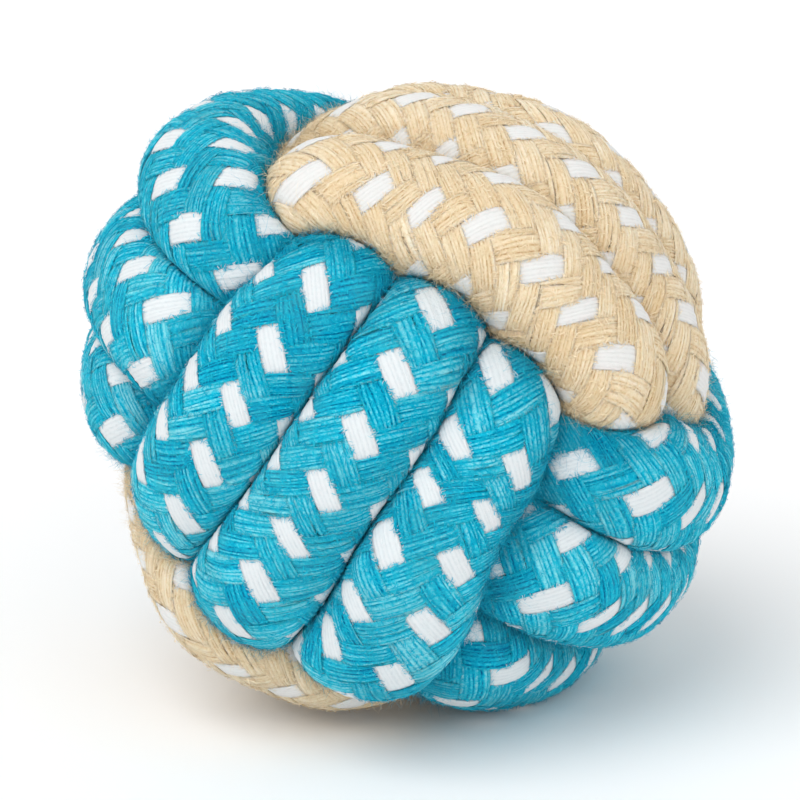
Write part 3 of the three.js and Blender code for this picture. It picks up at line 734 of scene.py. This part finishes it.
# ------------------------------------------------------------------ build the ropes
made = {}
for k, (r, band) in enumerate(zip(ropes, BANDS)):
    fold = (0.055, 0.055, 0.045)[k]
    whites = [ribbon(r, SLIP[k], i, -1, 6, 2, 0.030, 0.02, 0.97, 0.5, 0.05) for i in range(0, CARRIERS, 2)]
    s_dyed = [ribbon(r, SLIP[k], i, -1, 7, 2, fold, 0.03, 1.12) for i in range(1, CARRIERS, 2)]
    z_dyed = [ribbon(r, SLIP[k], j, 1, 7, 2, fold, 0.03, 1.10) for j in range(CARRIERS)]
    dyed = beige if k == 2 else blue
    for name, group, mat in ((f"{band}_white_carriers", whites, white_on_beige if k == 2 else white),
                             (f"{band}_dyed_carriers_left", s_dyed, dyed),
                             (f"{band}_dyed_carriers_right_odd", z_dyed[0::2], dyed),
                             (f"{band}_dyed_carriers_right_even", z_dyed[1::2], dyed)):
        ob = join(name, group)
        ob.data.materials.append(mat)
        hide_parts(f"{band}_cover")
        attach(ob, "root")
        made[name] = ob
        print(name, len(ob.data.vertices), sum(len(p.vertices) - 2 for p in ob.data.polygons))
    own_lint = beige_lint if k == 2 else blue_lint
    for part, group, count, long_, radius, where, mat in (
            ("lint_left", s_dyed, 44000, 0.7, 0.036, "face", own_lint), ("lint_right", z_dyed, 49000, 0.7, 0.036, "face", own_lint),
            ("lint_crease", s_dyed + z_dyed, 49500, 1.6, 0.011, "crease", own_lint),
            ("lint_edges", s_dyed + z_dyed, 49000, 0.9, 0.022, "edge", own_lint), ("white_lint", whites, 16000, 0.6, 0.022, "edge", white_lint)):
        ob = fuzz(f"{band}_{part}", group, count, long_, radius, where)
        ob.data.materials.append(mat)
        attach(ob, "root")


# ------------------------------------------------------------------ cores, whippings, heart
def yarn_material(name, low, high, sheen=0.2):
    m = Nodes(name)
    n = m.noise(m.place(), 1400.0, 3.0, 0.6)
    # painted highlight on the crests of the bundles and turns, painted shade in the grooves between them
    x = m.math("MULTIPLY_ADD", m.attr("crest"), 0.6, m.math("MULTIPLY", n, 0.5), clamp=True)
    m.put(m.bsdf.inputs["Base Color"], m.ramp(x, [(0.1, low), (0.9, high)]))
    m.bump(n, 0.00012, 0.5)
    return m.finish(0.95, sheen, (1, 1, 1))


core_mat = yarn_material("core_cotton", srgb(176, 168, 148), srgb(236, 230, 214))
thread_mat = yarn_material("whipping_cotton", srgb(190, 188, 180), srgb(240, 238, 232))
heart_mat = yarn_material("heart_cotton", srgb(168, 158, 136), srgb(228, 220, 200))


def tube(path, radius, sides, up):
    tan = np.gradient(path, axis=0)
    tan /= np.linalg.norm(tan, axis=1)[:, None]
    a = up - (up * tan).sum(1)[:, None] * tan
    a /= np.linalg.norm(a, axis=1)[:, None]
    c = np.cross(tan, a)
    g = np.arange(sides) * 2 * np.pi / sides
    v = path[:, None] + radius * (np.cos(g)[None, :, None] * a[:, None] + np.sin(g)[None, :, None] * c[:, None])
    return v


def loft(name, v, extra=None):
    n, m = v.shape[:2]
    ids = np.arange(n * m).reshape(n, m)
    nx = np.roll(ids, -1, axis=1)
    q = np.stack([ids[:-1], nx[:-1], nx[1:], ids[1:]], -1).reshape(-1, 4)
    crest = np.ones(n * m) if extra is None else extra.ravel()
    return make_mesh(name, v.reshape(-1, 3) * MM, [q, ids[0][None, ::-1], ids[-1][None]], {"crest": crest})


for k, (r, band) in enumerate(zip(ropes, BANDS)):
    # core: seven bundles of yarn, twisted
    rows = np.linspace(0.6, r.length - 0.6, int(r.length / 1.8))
    m = 42
    g = np.arange(m) / m
    s, u = np.meshgrid(rows, g, indexing="ij")
    surface = look_up(r, r.pos, s, u)
    centre = np.stack([np.interp(rows, r.s, r.p[:, c]) for c in range(3)], 1)[:, None]
    out = surface - centre
    far = np.linalg.norm(out, axis=2)
    lobe = np.abs(np.sin(3.5 * (2 * np.pi * u - s * 2 * np.pi / 34.0)))
    rad = np.maximum(far - 2.55, 0.42 * far) * (0.86 + 0.14 * np.sqrt(lobe))
    ob = loft(f"{band}_twisted_core", centre + out / far[..., None] * rad[..., None], lobe)
    ob.data.materials.append(core_mat)
    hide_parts(f"{band}_core")
    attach(ob, "root")
    # whippings: turns of thread, side by side
    for end in ("start", "end"):
        turns, per = 6, 40
        x = np.linspace(0, 1, turns * per + 1)
        s = WHIP_LENGTH * (0.15 + 0.78 * x)
        if end == "end":
            s = r.length - s[::-1]
        u = x * turns
        surface = look_up(r, r.pos, s, u)
        out = look_up(r, r.dir, s, u)
        v = tube(surface + out * 0.34, 0.31, 7, out)
        ob = loft(f"{band}_{end}_thread", v)
        ob.data.materials.append(thread_mat)
        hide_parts(f"{band}_{end}_whipping")
        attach(ob, "root")

# heart: yarn wound in many directions into a ball
n_lat, n_lon = 90, 150
th = np.pi * (np.arange(n_lat) + 0.5) / n_lat
ph = 2 * np.pi * np.arange(n_lon) / n_lon
d = np.stack([np.sin(th)[:, None] * np.cos(ph), np.sin(th)[:, None] * np.sin(ph), np.broadcast_to(np.cos(th)[:, None], (n_lat, n_lon))], -1)
height = np.full((n_lat, n_lon), -1.2)
crest = np.zeros((n_lat, n_lon))
for layer in range(34):
    ax = rng.standard_normal(3)
    ax /= np.linalg.norm(ax)
    c = d @ ax * HEART_RADIUS
    wide = rng.uniform(1.6, 3.0)
    wave = np.abs(np.cos(np.pi * c / 1.15))
    hh = -0.75 + 0.02 * layer + 0.28 * wave
    on = np.abs(c) < wide
    height = np.where(on, np.maximum(hh, height - 0.05), height)
    crest = np.where(on, wave, crest)
ball = CENTRE + d * (HEART_RADIUS + np.minimum(height, 0))[..., None]
ob = loft("heart_wound_yarn", ball[::-1], crest[::-1])
ob.data.materials.append(heart_mat)
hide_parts("heart_ball")
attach(ob, "root")


# ------------------------------------------------------------------ floor, light, camera
bpy.ops.mesh.primitive_plane_add(size=6.0, location=(0, 0, 0))
floor = bpy.context.object
floor.name = "floor"
fm = Nodes("floor_paper")
fm.put(fm.bsdf.inputs["Base Color"], fm.ramp(fm.noise(fm.place(), 3.0), [(0.3, (0.93, 0.93, 0.93)), (0.7, (0.95, 0.95, 0.95))]))
floor.data.materials.append(fm.finish(0.9, 0.0, (1, 1, 1)))

scene = bpy.context.scene
world = bpy.data.worlds.new("studio")
scene.world = world
world.use_nodes = True
wt = world.node_tree
wt.nodes.clear()
bg = wt.nodes.new("ShaderNodeBackground")
bg.inputs["Color"].default_value = (1, 1, 1, 1)
bg.inputs["Strength"].default_value = 0.70
wt.links.new(bg.outputs[0], wt.nodes.new("ShaderNodeOutputWorld").inputs["Surface"])


def sun(name, toward, strength, angle):
    d = bpy.data.lights.new(name, "SUN")
    d.energy = strength
    d.angle = math.radians(angle)
    o = bpy.data.objects.new(name, d)
    scene.collection.objects.link(o)
    z = np.array(toward, float)
    z /= np.linalg.norm(z)
    x = np.cross([0, 0, 1], z)
    x /= np.linalg.norm(x)
    y = np.cross(z, x)
    o.matrix_world = Matrix(((x[0], y[0], z[0], 0), (x[1], y[1], z[1], 0), (x[2], y[2], z[2], 1), (0, 0, 0, 1)))


sun("key", (-0.30, -0.62, 0.85), 1.50, 50)
sun("front", (0.55, -0.80, 0.30), 0.84, 60)

EL, AZ, DIST, FOCAL = math.radians(15), math.radians(13), 343.0, 3183.0
back = np.array([math.cos(EL) * math.sin(AZ), -math.cos(EL) * math.cos(AZ), math.sin(EL)])
right = np.array([math.cos(AZ), math.sin(AZ), 0.0])
up = np.cross(back, right)
eye = (CENTRE + DIST * back) * MM
cam = bpy.data.cameras.new("camera")
cam.sensor_width = 36.0
cam.lens = FOCAL * 36.0 / 800.0
cam.shift_x, cam.shift_y = -6.0 / 800.0, -1.0 / 800.0
cam.clip_start, cam.clip_end = 0.01, 20.0
camera = bpy.data.objects.new("camera", cam)
scene.collection.objects.link(camera)
camera.matrix_world = Matrix(((right[0], up[0], back[0], eye[0]), (right[1], up[1], back[1], eye[1]), (right[2], up[2], back[2], eye[2]), (0, 0, 0, 1)))
scene.camera = camera
scene.view_settings.view_transform = "Standard"
scene.view_settings.look = "None"
